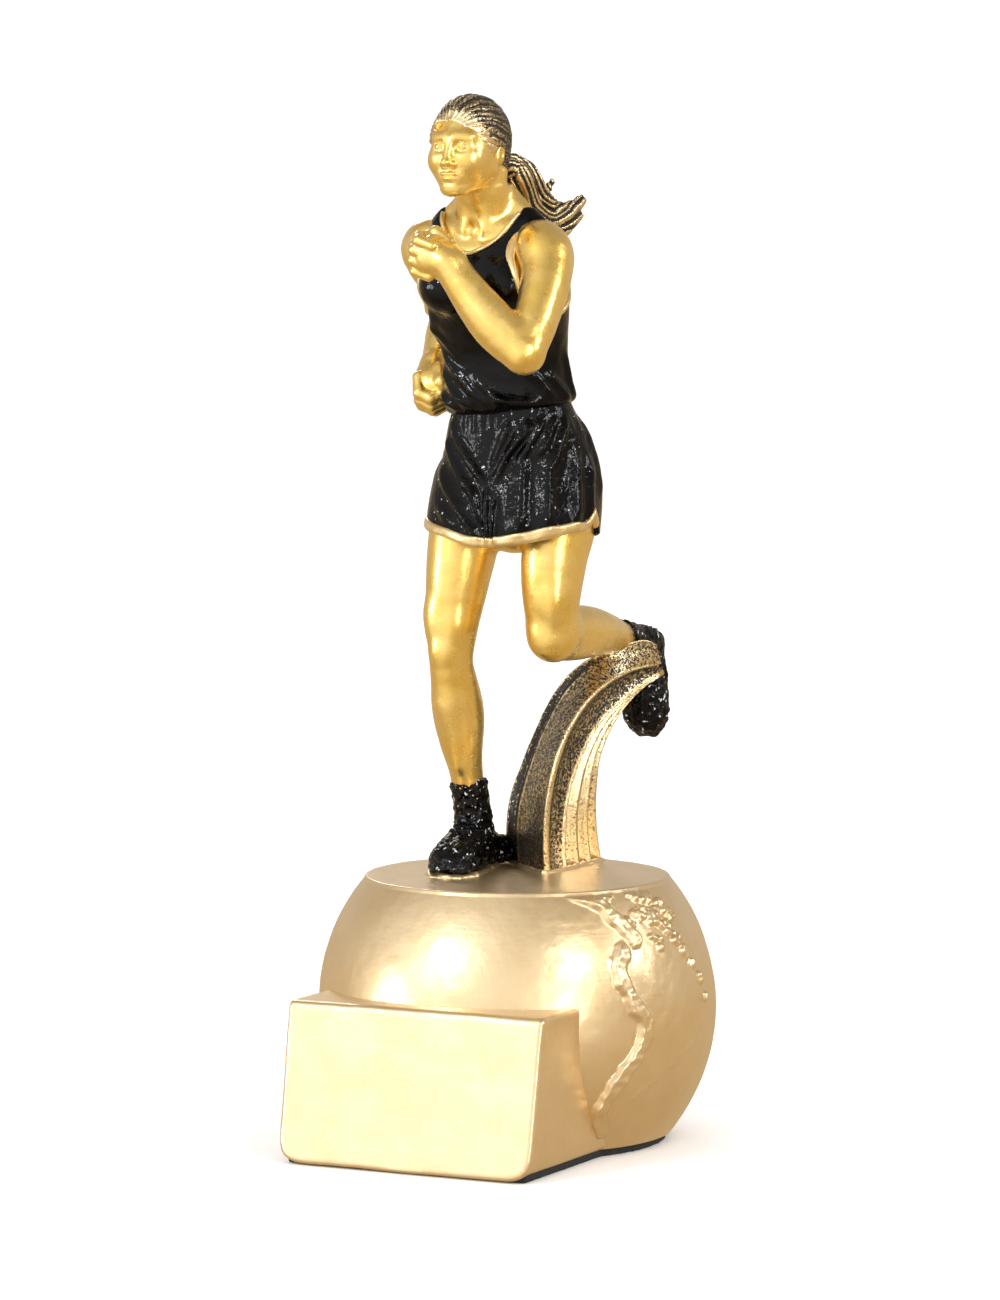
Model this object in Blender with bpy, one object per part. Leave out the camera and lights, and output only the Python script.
"""Figure trophy: a running athlete cast in pieces, on a truncated globe with a block for an engraved plate.

Blender 4.5. Design values are in millimetres and are turned into metres when a mesh is made.
+Z is up, the athlete runs towards -Y, +X is the athlete's left. The origin is the point on the shelf
under the globe's axis. The castings are glued on steel pins, and every joint keeps a glue gap.
"""

import math

import bmesh
import bpy
from mathutils import Matrix, Vector

MM = 0.001
GLUE_GAP = 0.3  # between castings that touch, and around each pin

# Base
FELT_THICKNESS = 1.2
FELT_INSET = 1.0
GLOBE_RADIUS = 38.4
GLOBE_CENTRE_Z = 25.8
GLOBE_TOP_Z = 51.0
GLOBE_BOTTOM_Z = FELT_THICKNESS + GLUE_GAP
GLOBE_CAVITY_RADIUS = 32.0
GLOBE_CAVITY_TOP_Z = 43.0
BLOCK_HALF_WIDTH = 27.0
BLOCK_TOP_Z = 30.3
BLOCK_FRONT_TOP_Y = -42.5
BLOCK_FRONT_BOTTOM_Y = -48.6
BLOCK_BACK_Y = -6.0
BLOCK_EDGE_RADIUS = 1.6

# Athlete: stations along each casting are (x, y, z, half width, half depth)
SOLE_Z = GLOBE_TOP_Z + GLUE_GAP
WAIST_Z = 142.0
HEM_Z = 119.8
HEM_BAND_HEIGHT = 1.9

RIGHT_LEG = [
    (-11.9, 2.3, 68.2, 3.2, 3.6),
    (-11.7, -0.2, 72.0, 3.6, 4.1),
    (-11.5, -2.9, 78.0, 4.4, 5.3),
    (-11.3, -4.6, 84.0, 5.0, 6.0),
    (-11.1, -6.2, 91.0, 4.4, 5.0),
    (-11.0, -6.8, 95.5, 4.2, 4.7),
    (-10.9, -6.3, 99.0, 4.7, 5.3),
    (-10.6, -6.0, 105.0, 5.4, 6.2),
    (-10.0, -4.8, 113.0, 6.1, 7.0),
    (-9.6, -3.4, HEM_Z - GLUE_GAP, 6.6, 7.8),
]
LEFT_THIGH = [
    (8.8, -2.2, 96.4, 4.6, 4.6),
    (8.7, -2.4, 101.5, 5.2, 5.7),
    (8.7, -2.7, 107.0, 5.8, 6.6),
    (8.7, -1.5, 113.0, 6.4, 7.3),
    (8.9, 0.4, HEM_Z - GLUE_GAP, 6.8, 8.0),
]
LEFT_KNEE = (8.7, -1.8, 98.3, 5.0)  # centre and radius
LEFT_SHANK = [
    (8.7, -2.0, 98.0, 4.6, 4.6),
    (8.6, 9.0, 97.3, 4.6, 4.8),
    (8.6, 17.0, 96.6, 4.7, 4.9),
    (8.5, 24.0, 95.4, 3.8, 3.8),
    (8.5, 28.2, 94.8, 3.2, 3.3),
]
SHORTS = [
    (0.0, -1.6, HEM_Z, 17.0, 12.8),
    (0.2, -0.9, 124.0, 16.8, 12.3),
    (0.6, 0.0, 130.0, 15.8, 11.4),
    (0.4, -1.2, 136.0, 14.2, 9.9),
    (0.0, -2.5, 140.0, 13.0, 8.9),
    (0.0, -3.1, WAIST_Z, 12.5, 8.6),
]
TORSO = [
    (0.0, -3.2, WAIST_Z + GLUE_GAP, 12.9, 9.0),
    (0.0, -4.0, 147.0, 12.3, 8.6),
    (0.0, -5.1, 152.0, 12.2, 8.8),
    (0.0, -7.8, 158.0, 13.2, 9.9),
    (0.0, -10.2, 164.0, 14.2, 11.0),
    (0.0, -11.2, 168.0, 13.6, 10.4),
    (0.0, -12.0, 172.0, 12.4, 8.6),
    (0.0, -12.2, 175.0, 10.4, 6.4),
    (0.0, -13.0, 177.8, 6.4, 5.0),
    (0.0, -14.6, 180.5, 4.3, 4.3),
    (0.0, -17.0, 185.0, 4.1, 4.2),
]
SKIN_UNDER_VEST = 0.5  # how far the skin lies below the vest's face
NECKLINE = (0.0, -13.0, 180.2, 8.2, 9.4)  # centre, half width and half height of the scoop
HEAD = [
    (0.0, -26.4, 181.2, 1.8, 1.6),
    (0.0, -24.6, 182.6, 3.8, 3.8),
    (0.0, -22.6, 185.6, 5.2, 6.6),
    (0.0, -21.0, 189.0, 6.0, 8.2),
    (0.0, -20.3, 192.5, 6.3, 8.7),
    (0.0, -20.0, 195.5, 5.9, 8.0),
    (0.0, -19.9, 198.0, 4.2, 5.9),
    (0.0, -19.9, 199.2, 1.6, 2.4),
]
NAPE_GAP = 1.1
HAIR_CENTRE = (0.0, -19.4, 191.4)
HAIR_RADII = (7.4, 9.5, 8.6)
FACE_OPENING = (0.0, -29.5, 187.0)  # centre of the round opening that the face shows through
FACE_OPENING_RADII = (6.6, 9.4, 9.2)
HAIR_TIE = [(0.4, -10.6, 186.6, 2.3, 2.3), (0.9, -9.3, 186.4, 2.3, 2.3)]
PONYTAIL = [
    (1.1, -9.0, 186.3, 2.4, 2.6),
    (2.3, -7.2, 185.6, 3.1, 3.4),
    (3.6, -5.0, 182.6, 3.4, 3.6),
    (4.8, -2.8, 179.4, 3.2, 3.2),
    (6.2, 0.4, 177.8, 3.0, 2.6),
    (7.8, 4.0, 178.2, 2.6, 2.0),
    (9.2, 7.4, 180.4, 0.9, 0.8),
]
ARMHOLE_X = 11.1
LEFT_SHOULDER = (12.8, -15.0, 170.4, 5.4)
LEFT_UPPER_ARM = [
    (13.4, -16.2, 169.2, 4.8, 4.8),
    (15.4, -19.6, 164.4, 4.4, 4.5),
    (16.9, -23.4, 159.0, 4.1, 4.2),
    (17.5, -27.2, 154.0, 4.0, 4.1),
]
LEFT_ELBOW = (17.5, -28.2, 153.1, 4.4)
LEFT_FOREARM = [
    (17.5, -28.4, 153.0, 4.1, 4.1),
    (12.8, -29.2, 158.0, 4.2, 4.2),
    (7.8, -30.2, 163.2, 3.5, 3.5),
    (3.6, -31.2, 167.3, 2.7, 2.9),
]
RIGHT_SHOULDER = (-12.8, -11.2, 171.0, 5.3)
RIGHT_UPPER_ARM = [
    (-13.6, -9.8, 170.4, 4.8, 4.8),
    (-15.8, -4.4, 168.4, 4.5, 4.5),
    (-18.0, 3.2, 165.4, 4.1, 4.1),
    (-19.6, 12.0, 162.0, 3.8, 3.9),
]
RIGHT_ELBOW = (-19.8, 13.6, 161.2, 4.1)
RIGHT_FOREARM = [
    (-19.8, 13.8, 161.0, 3.8, 3.9),
    (-19.2, 8.6, 156.0, 4.0, 4.0),
    (-18.6, 3.8, 151.2, 3.3, 3.4),
    (-18.0, 0.2, 147.6, 2.7, 2.8),
]
FIST_STATIONS = [(0.2, 2.8, 3.0), (2.0, 4.0, 3.9), (5.0, 4.7, 4.3), (8.0, 4.3, 3.9), (9.6, 2.4, 2.2)]

# Shoe, in its own frame: sole down, toe towards -Y, origin on the sole under the ankle.
# Each station is (y, half width, underside z, upper z)
SHOE = [
    (5.4, 2.4, 1.0, 5.6),
    (4.2, 3.5, 0.2, 7.6),
    (1.0, 3.7, 0.0, 9.2),
    (-3.0, 3.8, 0.0, 8.4),
    (-8.0, 4.4, 0.0, 6.2),
    (-13.0, 4.7, 0.0, 5.0),
    (-16.6, 4.0, 0.2, 4.2),
    (-18.8, 2.0, 1.0, 3.0),
]
RIGHT_SHOE_AT = (-12.3, 6.8, SOLE_Z)
RIGHT_ANKLE_AXIS = Vector((0.1, -1.4, 3.0)).normalized()
LEFT_SHOE_AT = (8.6, 41.8, 93.4)
RIGHT_SOCK = [
    (-12.3, 6.4, 56.0, 3.4, 3.8),
    (-12.1, 5.0, 61.0, 3.5, 3.9),
    (-12.0, 3.4, 65.0, 3.3, 3.7),
    (-11.9, 2.4, 67.9, 3.3, 3.7),
]
LEFT_SOCK = [
    (8.5, 28.5, 94.8, 3.3, 3.4),
    (8.5, 31.5, 94.3, 3.3, 3.5),
    (8.5, 35.0, 93.9, 3.4, 3.7),
    (8.6, 38.0, 93.8, 3.4, 3.8),
]

# Swoosh support: each station is its four edges, front left, front right, back right, back left
SWOOSH = [
    ((-10.0, 15.2, SOLE_Z), (4.6, 4.6, SOLE_Z), (5.0, 26.0, SOLE_Z), (-7.0, 26.5, SOLE_Z)),
    ((-9.9, 14.8, 57.4), (5.0, 1.8, 58.7), (5.3, 24.1, 57.6), (-6.6, 25.2, 57.6)),
    ((-9.0, 14.4, 64.0), (5.5, 1.8, 65.5), (5.6, 23.0, 64.0), (-5.6, 24.6, 64.0)),
    ((-7.0, 15.8, 71.0), (6.5, 3.6, 73.0), (6.5, 23.2, 71.2), (-3.6, 25.0, 71.0)),
    ((-4.5, 18.4, 78.6), (7.6, 7.8, 79.6), (8.0, 25.2, 77.4), (-1.2, 27.0, 77.4)),
    ((-1.6, 21.2, 84.4), (9.2, 14.4, 85.0), (10.2, 27.8, 82.2), (2.2, 29.0, 82.2)),
    ((2.0, 23.6, 88.6), (11.4, 22.4, 88.6), (12.4, 30.4, 85.8), (6.0, 30.8, 85.8)),
    ((7.6, 27.2, 91.6), (13.4, 28.4, 89.6), (14.0, 32.6, 87.6), (10.6, 32.6, 87.6)),
    ((11.8, 31.4, 93.4), (14.8, 32.6, 89.8), (15.0, 34.0, 88.8), (13.4, 34.0, 88.8)),
]
SWOOSH_CLEARANCE = 0.35

# Pins: name, end, end, radius and the castings that each one joins
PINS = [
    ("block_pin_left", (14.0, -40.0, 14.0), (14.0, -29.0, 14.0), 1.5, ("plate_block", "globe_base")),
    ("block_pin_right", (-14.0, -40.0, 14.0), (-14.0, -29.0, 14.0), 1.5, ("plate_block", "globe_base")),
    ("swoosh_pin_front", (2.0, 10.0, 58.0), (2.0, 10.0, 46.0), 1.2, ("swoosh_support", "globe_base")),
    ("swoosh_pin_rear", (-2.5, 20.5, 58.0), (-2.5, 20.5, 46.0), 1.2, ("swoosh_support", "globe_base")),
    ("shank_pin", (9.2, 26.6, 85.0), (8.8, 26.0, 93.8), 0.7, ("swoosh_support", "left_leg")),
    (
        "right_ankle_rod",
        (-11.5, -2.0, 76.0),
        (-12.4, 9.4, 46.0),
        0.9,
        ("right_leg", "right_shoe", "globe_base"),
    ),
    ("left_ankle_pin", (8.5, 22.0, 96.4), (8.5, 35.0, 95.0), 0.8, ("left_leg", "left_shoe")),
    ("right_hip_pin", (-9.4, -3.0, 127.0), (-10.0, -4.8, 112.0), 1.1, ("shorts", "right_leg")),
    ("left_hip_pin", (8.9, 0.6, 127.0), (8.7, -1.4, 112.0), 1.1, ("shorts", "left_leg")),
    ("waist_pin", (0.0, -4.4, 150.0), (0.0, -2.2, 134.0), 1.3, ("vest_torso", "shorts")),
    ("neck_pin", (0.0, -12.0, 165.0), (0.0, -18.6, 190.0), 0.8, ("vest_torso", "neck_and_chest", "head")),
    ("left_shoulder_pin", (5.6, -13.4, 168.8), (14.6, -15.2, 170.4), 0.8, ("vest_torso", "left_arm")),
    ("right_shoulder_pin", (-5.6, -11.8, 168.8), (-14.6, -10.6, 171.0), 0.8, ("vest_torso", "right_arm")),
    ("left_wrist_pin", (7.0, -30.4, 164.0), (-0.4, -32.0, 171.2), 0.6, ("left_arm", "left_fist")),
    ("right_wrist_pin", (-18.5, 3.0, 150.4), (-17.7, -2.6, 144.8), 0.6, ("right_arm", "right_fist")),
    ("ponytail_pin", (0.2, -12.1, 187.1), (1.9, -7.4, 186.1), 0.5, ("hair", "hair_tie", "ponytail")),
]

X_AXIS = Vector((1, 0, 0))
Y_AXIS = Vector((0, 1, 0))
Z_AXIS = Vector((0, 0, 1))


def clear_scene():
    for item in list(bpy.data.objects):
        bpy.data.objects.remove(item)


def paint(name, colour, roughness, metallic):
    """A painted finish as a Principled BSDF."""
    finish = bpy.data.materials.new(name)
    finish.use_nodes = True
    shader = finish.node_tree.nodes["Principled BSDF"]
    shader.inputs["Base Color"].default_value = (*colour, 1)
    shader.inputs["Roughness"].default_value = roughness
    shader.inputs["Metallic"].default_value = metallic
    return finish


def from_bmesh(name, bm, finish=None):
    """An object from a bmesh in millimetres. With no finish it is a helper that isn't part of the trophy."""
    bmesh.ops.scale(bm, vec=(MM, MM, MM), verts=bm.verts)
    bmesh.ops.recalc_face_normals(bm, faces=bm.faces)
    mesh = bpy.data.meshes.new(name)
    bm.to_mesh(mesh)
    bm.free()
    mesh.shade_smooth()
    mesh.set_sharp_from_angle(angle=math.radians(40))
    item = bpy.data.objects.new(name, mesh)
    bpy.context.scene.collection.objects.link(item)
    if finish:
        mesh.materials.append(finish)
    else:
        item.hide_render = True
        item.display_type = "WIRE"
    return item


def combine(item, other, operation):
    """A Boolean of item with a helper."""
    modifier = item.modifiers.new(f"{operation.lower()}_{other.name}", "BOOLEAN")
    modifier.operation = operation
    modifier.object = other
    modifier.solver = "EXACT"
    return item


def bridge_rings(bm, rings):
    """Closes a body through rings of equal size, with a flat cap at each end."""
    loops = [[bm.verts.new(point) for point in ring] for ring in rings]
    count = len(loops[0])
    for low, high in zip(loops, loops[1:]):
        for i in range(count):
            j = (i + 1) % count
            bm.faces.new((low[i], low[j], high[j], high[i]))
    bm.faces.new(reversed(loops[0]))
    bm.faces.new(loops[-1])


def loft(
    name, stations, finish=None, across=X_AXIS, sides=16, end_normals=(None, None), level=False, grow=0.0
):
    """A limb: ellipses square to the line through the stations, whose first half size lies along `across`.
    end_normals turns the two flat ends, level keeps every ellipse flat, and grow makes the larger body
    that clears a neighbour."""
    centres = [Vector(s[:3]) for s in stations]
    rings = []
    for k, station in enumerate(stations):
        before, after = centres[max(k - 1, 0)], centres[min(k + 1, len(centres) - 1)]
        along = (after - before).normalized()
        if k == 0 and end_normals[0]:
            along = end_normals[0]
        if k == len(stations) - 1 and end_normals[1]:
            along = end_normals[1]
        if level:
            along = Z_AXIS
        u = (across - across.dot(along) * along).normalized()
        v = along.cross(u)
        centre = centres[k]
        if k == 0:
            centre = centre - along * grow
        if k == len(stations) - 1:
            centre = centre + along * grow
        half_u, half_v = station[3] + grow, station[4] + grow
        angles = [2 * math.pi * i / sides for i in range(sides)]
        rings.append([centre + u * half_u * math.cos(a) + v * half_v * math.sin(a) for a in angles])
    bm = bmesh.new()
    bridge_rings(bm, rings)
    return from_bmesh(name, bm, finish)


def ball(name, centre, radii, finish=None, segments=20):
    bm = bmesh.new()
    place = Matrix.Translation(centre) @ Matrix.Diagonal((*radii, 1))
    bmesh.ops.create_uvsphere(bm, u_segments=segments, v_segments=segments // 2, radius=1, matrix=place)
    return from_bmesh(name, bm, finish)


def box(name, low, high):
    bm = bmesh.new()
    bmesh.ops.create_cube(bm, size=1)
    for vert in bm.verts:
        vert.co = [(a + b) / 2 + (b - a) * c for a, b, c in zip(low, high, vert.co)]
    return from_bmesh(name, bm)


def rod(name, start, end, radius, finish=None, grow=0.0, sides=12):
    """A straight pin, or the socket cutter around it when it grows."""
    start, end = Vector(start), Vector(end)
    along = end - start
    place = Matrix.Translation((start + end) / 2) @ along.to_track_quat("Z", "Y").to_matrix().to_4x4()
    bm = bmesh.new()
    bmesh.ops.create_cone(
        bm,
        cap_ends=True,
        segments=sides,
        radius1=radius + grow,
        radius2=radius + grow,
        depth=along.length + 2 * grow,
        matrix=place,
    )
    return from_bmesh(name, bm, finish)


def spun(name, profile, finish=None, steps=48):
    """A turned body from (radius, z) points that start and end on the axis or close on themselves."""
    bm = bmesh.new()
    points = [bm.verts.new((radius, 0, z)) for radius, z in profile]
    edges = [bm.edges.new(pair) for pair in zip(points, points[1:])]
    bmesh.ops.spin(
        bm, geom=points + edges, axis=Z_AXIS, cent=(0, 0, 0), angle=2 * math.pi, steps=steps, use_merge=True
    )
    bmesh.ops.remove_doubles(bm, verts=bm.verts, dist=0.01)
    return from_bmesh(name, bm, finish)


def sphere_arc(radius, low_z, high_z, count):
    """(radius, z) points up the globe's side, for a sphere about the globe's centre."""
    start = math.asin((low_z - GLOBE_CENTRE_Z) / radius)
    end = math.asin((high_z - GLOBE_CENTRE_Z) / radius)
    angles = [start + (end - start) * i / count for i in range(count + 1)]
    return [(radius * math.cos(a), GLOBE_CENTRE_Z + radius * math.sin(a)) for a in angles]


def globe_base(finish):
    """The globe's shell: flat on top and below, and hollow from underneath."""
    outside = sphere_arc(GLOBE_RADIUS, GLOBE_BOTTOM_Z, GLOBE_TOP_Z, 16)
    inside = sphere_arc(GLOBE_CAVITY_RADIUS, GLOBE_BOTTOM_Z, GLOBE_CAVITY_TOP_Z, 9)
    profile = [(0, GLOBE_CAVITY_TOP_Z), *reversed(inside), *outside, (0, GLOBE_TOP_Z)]
    return spun("globe_base", profile, finish)


def plaster_ballast(finish):
    fill = sphere_arc(GLOBE_CAVITY_RADIUS - GLUE_GAP, GLOBE_BOTTOM_Z, GLOBE_CAVITY_TOP_Z - GLUE_GAP, 8)
    top = (0, GLOBE_CAVITY_TOP_Z - GLUE_GAP)
    return spun("plaster_ballast", [(0, GLOBE_BOTTOM_Z), *fill, top], finish, steps=32)


def plate_block(finish):
    """The block with the sloping face for an engraved plate, hollowed behind to sit against the globe."""
    side = [
        (BLOCK_FRONT_BOTTOM_Y, GLOBE_BOTTOM_Z),
        (BLOCK_FRONT_TOP_Y, BLOCK_TOP_Z),
        (BLOCK_BACK_Y, BLOCK_TOP_Z),
        (BLOCK_BACK_Y, GLOBE_BOTTOM_Z),
    ]
    bm = bmesh.new()
    bridge_rings(bm, [[(x, y, z) for y, z in side] for x in (-BLOCK_HALF_WIDTH, BLOCK_HALF_WIDTH)])
    front = [e for e in bm.edges if all(v.co.y < BLOCK_BACK_Y - 1 for v in e.verts)]
    bmesh.ops.bevel(bm, geom=front, offset=BLOCK_EDGE_RADIUS, segments=3, profile=0.5, affect="EDGES")
    block = from_bmesh("plate_block", bm, finish)
    seat = ball("globe_clearance", (0, 0, GLOBE_CENTRE_Z), (GLOBE_RADIUS + GLUE_GAP,) * 3, segments=64)
    return combine(block, seat, "DIFFERENCE")


def felt_pad(finish):
    """The pad's outline is the globe's foot, run forward to the block's corners."""
    foot = sphere_arc(GLOBE_RADIUS, GLOBE_BOTTOM_Z, GLOBE_TOP_Z, 1)[0][0] - FELT_INSET
    half_width = BLOCK_HALF_WIDTH - FELT_INSET
    front = BLOCK_FRONT_BOTTOM_Y + FELT_INSET
    start = -math.acos(half_width / foot)
    steps = 32
    outline = [(-half_width, front), (half_width, front)]
    for i in range(steps + 1):
        angle = start + (math.pi - 2 * start) * i / steps
        outline.append((foot * math.cos(angle), foot * math.sin(angle)))
    bm = bmesh.new()
    bridge_rings(bm, [[(x, y, z) for x, y in outline] for z in (0, FELT_THICKNESS)])
    return from_bmesh("felt_pad", bm, finish)


def swoosh_support(finish, neighbours):
    """The curved blade that rises from the globe and carries the bent leg."""
    bm = bmesh.new()
    rings = []
    for edges in SWOOSH:
        corners = [Vector(p) for p in edges]
        ring = []
        for start, end in zip(corners, corners[1:] + corners[:1]):
            ring += [start, start.lerp(end, 1 / 3), start.lerp(end, 2 / 3)]
        rings.append(ring)
    bridge_rings(bm, rings)
    blade = from_bmesh("swoosh_support", bm, finish)
    for neighbour in neighbours:
        combine(blade, neighbour, "DIFFERENCE")
    return blade


def shoe(name, sock, at, toe_down, finish=None, sock_top_axis=None, grow=0.0):
    """A running shoe with its sock. toe_down stands the shoe on its toe, as on the raised foot."""
    sides = 16
    place = Matrix.Translation(at)
    if toe_down:
        place = place @ Matrix.Rotation(math.pi / 2, 4, "X")
    rings = []
    for k, (y, half_width, low, high) in enumerate(SHOE):
        y += grow * ((k == 0) - (k == len(SHOE) - 1))
        middle = low + (high - low) * 0.35
        ring = []
        for i in range(sides):
            c, s = math.cos(2 * math.pi * i / sides), math.sin(2 * math.pi * i / sides)
            wide = math.copysign(abs(c) ** 0.7, c) * (half_width + grow)
            tall = (high + grow - middle) * s if s > 0 else (middle - low + grow) * -(abs(s) ** 0.5)
            ring.append(place @ Vector((wide, y, middle + tall)))
        rings.append(ring)
    bm = bmesh.new()
    bridge_rings(bm, rings)
    body = from_bmesh(name, bm, finish)
    ankle = loft(f"{name}_ankle", sock, end_normals=(None, sock_top_axis), grow=grow)
    return combine(body, ankle, "UNION")


def bent_limb(name, upper, joint, lower, finish=None, across=X_AXIS, end_normals=(None, None), grow=0.0):
    """Two lofted limbs that meet at a round knee or elbow."""
    limb = loft(name, upper, finish, across, end_normals=end_normals, grow=grow)
    middle = ball(f"{name}_joint", joint[:3], (joint[3] + grow,) * 3)
    combine(limb, middle, "UNION")
    return combine(limb, loft(f"{name}_lower", lower, across=across, grow=grow), "UNION")


def left_leg(name, finish=None, grow=0.0):
    return bent_limb(
        name, LEFT_THIGH, LEFT_KNEE, LEFT_SHANK, finish, end_normals=(None, Z_AXIS), grow=grow
    )


def arm(name, shoulder, upper, elbow, forearm, across, finish=None, grow=0.0):
    """An arm with a round shoulder, cut flat where it meets the body."""
    limb = bent_limb(name, upper, elbow, forearm, finish, across, grow=grow)
    combine(limb, ball(f"{name}_shoulder", shoulder[:3], (shoulder[3] + grow,) * 3), "UNION")
    x, y, z, _ = shoulder
    near, far = sorted((0.0, math.copysign(ARMHOLE_X - grow, x)))
    return combine(limb, box(f"{name}_inside", (near, y - 12, z - 12), (far, y + 12, z + 12)), "DIFFERENCE")


def left_arm(name, finish=None, grow=0.0):
    return arm(name, LEFT_SHOULDER, LEFT_UPPER_ARM, LEFT_ELBOW, LEFT_FOREARM, Y_AXIS, finish, grow)


def right_arm(name, finish=None, grow=0.0):
    return arm(name, RIGHT_SHOULDER, RIGHT_UPPER_ARM, RIGHT_ELBOW, RIGHT_FOREARM, Z_AXIS, finish, grow)


def fist(name, forearm, finish):
    """A closed hand past the end of a forearm, square to its last stretch."""
    wrist, before = Vector(forearm[-1][:3]), Vector(forearm[-2][:3])
    along = (wrist - before).normalized()
    stations = [(*(wrist + along * d), wide, deep) for d, wide, deep in FIST_STATIONS]
    return loft(name, stations, finish, Z_AXIS, end_normals=(along, along))


def hem_band(finish):
    """The raised band under the shorts, with a hole for each thigh."""
    x, y, _, half_width, half_depth = SHORTS[0]
    top = HEM_Z - GLUE_GAP
    stations = [(x, y, z, half_width + 0.3, half_depth + 0.3) for z in (top - HEM_BAND_HEIGHT, top)]
    band = loft("hem_band", stations, finish, sides=32, level=True)
    holes = [
        loft("right_thigh_clearance", RIGHT_LEG, end_normals=(None, Z_AXIS), grow=GLUE_GAP),
        left_leg("left_thigh_clearance", grow=GLUE_GAP),
    ]
    for hole in holes:
        combine(band, hole, "DIFFERENCE")
    return band


def neckline_cutter(name, grow):
    """The scoop of the vest's neck, an ellipse carried through from front to back."""
    x, y, z, half_width, half_height = NECKLINE
    reach = 20
    stations = [(x, y + side * reach, z, half_width + grow, half_height + grow) for side in (-1, 1)]
    return loft(name, stations, sides=32)


def vest_torso(finish):
    torso = loft("vest_torso", TORSO[:-2], finish, sides=24, level=True)
    combine(torso, neckline_cutter("neckline_clearance", 0.0), "DIFFERENCE")
    combine(torso, left_arm("left_armhole", grow=GLUE_GAP), "DIFFERENCE")
    return combine(torso, right_arm("right_armhole", grow=GLUE_GAP), "DIFFERENCE")


def neck_and_chest(finish):
    skin = [(x, y, z, wide - SKIN_UNDER_VEST, deep - SKIN_UNDER_VEST) for x, y, z, wide, deep in TORSO]
    body = loft("neck_and_chest", skin, finish, sides=24, level=True)
    return combine(body, neckline_cutter("neckline_inside", -GLUE_GAP), "INTERSECT")


def head(finish):
    skull = loft("head", HEAD, finish, sides=20, level=True)
    return combine(skull, loft("neck_clearance", TORSO[-4:], level=True, grow=GLUE_GAP), "DIFFERENCE")


def hair(finish):
    """The cap of hair, hollow over the skull, with a round opening for the face."""
    cap = ball("hair", HAIR_CENTRE, HAIR_RADII, finish, segments=28)
    inside = loft("skull_clearance", HEAD, sides=20, level=True, grow=GLUE_GAP)
    combine(cap, inside, "DIFFERENCE")
    combine(cap, ball("face_opening", FACE_OPENING, FACE_OPENING_RADII, segments=28), "DIFFERENCE")
    return combine(cap, loft("nape_clearance", TORSO[-4:], level=True, grow=NAPE_GAP), "DIFFERENCE")


def hair_tie(finish):
    tie = loft("hair_tie", HAIR_TIE, finish)
    radii = [r + GLUE_GAP for r in HAIR_RADII]
    return combine(tie, ball("hair_clearance", HAIR_CENTRE, radii, segments=28), "DIFFERENCE")


def pin_castings(finish):
    """Makes each steel pin, and its socket in every casting that it joins."""
    for name, start, end, radius, hosts in PINS:
        rod(name, start, end, radius, finish)
        socket = rod(f"{name}_socket", start, end, radius, grow=GLUE_GAP)
        for host in hosts:
            combine(bpy.data.objects[host], socket, "DIFFERENCE")


def main():
    clear_scene()
    skin_gold = paint("skin_gold", (0.83, 0.57, 0.16), 0.28, 1.0)
    base_gold = paint("base_gold", (0.80, 0.62, 0.30), 0.38, 1.0)
    antique_gold = paint("antique_gold", (0.42, 0.31, 0.15), 0.45, 0.9)
    gloss_black = paint("gloss_black", (0.012, 0.012, 0.014), 0.12, 0.0)
    felt = paint("black_felt", (0.02, 0.02, 0.02), 0.95, 0.0)
    plaster = paint("plaster", (0.78, 0.76, 0.72), 0.9, 0.0)
    steel = paint("steel", (0.62, 0.63, 0.65), 0.3, 1.0)

    felt_pad(felt)
    globe_base(base_gold)
    plaster_ballast(plaster)
    plate_block(base_gold)
    swoosh_support(
        antique_gold,
        [
            left_leg("shank_clearance", grow=SWOOSH_CLEARANCE),
            shoe("shoe_clearance", LEFT_SOCK, LEFT_SHOE_AT, True, grow=SWOOSH_CLEARANCE),
        ],
    )
    shoe("right_shoe", RIGHT_SOCK, RIGHT_SHOE_AT, False, gloss_black, RIGHT_ANKLE_AXIS)
    shoe("left_shoe", LEFT_SOCK, LEFT_SHOE_AT, True, gloss_black)
    loft("right_leg", RIGHT_LEG, skin_gold, end_normals=(RIGHT_ANKLE_AXIS, Z_AXIS))
    left_leg("left_leg", skin_gold)
    hem_band(base_gold)
    loft("shorts", SHORTS, gloss_black, sides=28, level=True)
    vest_torso(gloss_black)
    neck_and_chest(skin_gold)
    head(skin_gold)
    hair(antique_gold)
    hair_tie(antique_gold)
    tie_axis = (Vector(HAIR_TIE[1][:3]) - Vector(HAIR_TIE[0][:3])).normalized()
    loft("ponytail", PONYTAIL, antique_gold, Z_AXIS, end_normals=(tie_axis, None))
    left_arm("left_arm", skin_gold)
    right_arm("right_arm", skin_gold)
    fist("left_fist", LEFT_FOREARM, skin_gold)
    fist("right_fist", RIGHT_FOREARM, skin_gold)
    pin_castings(steel)


main()
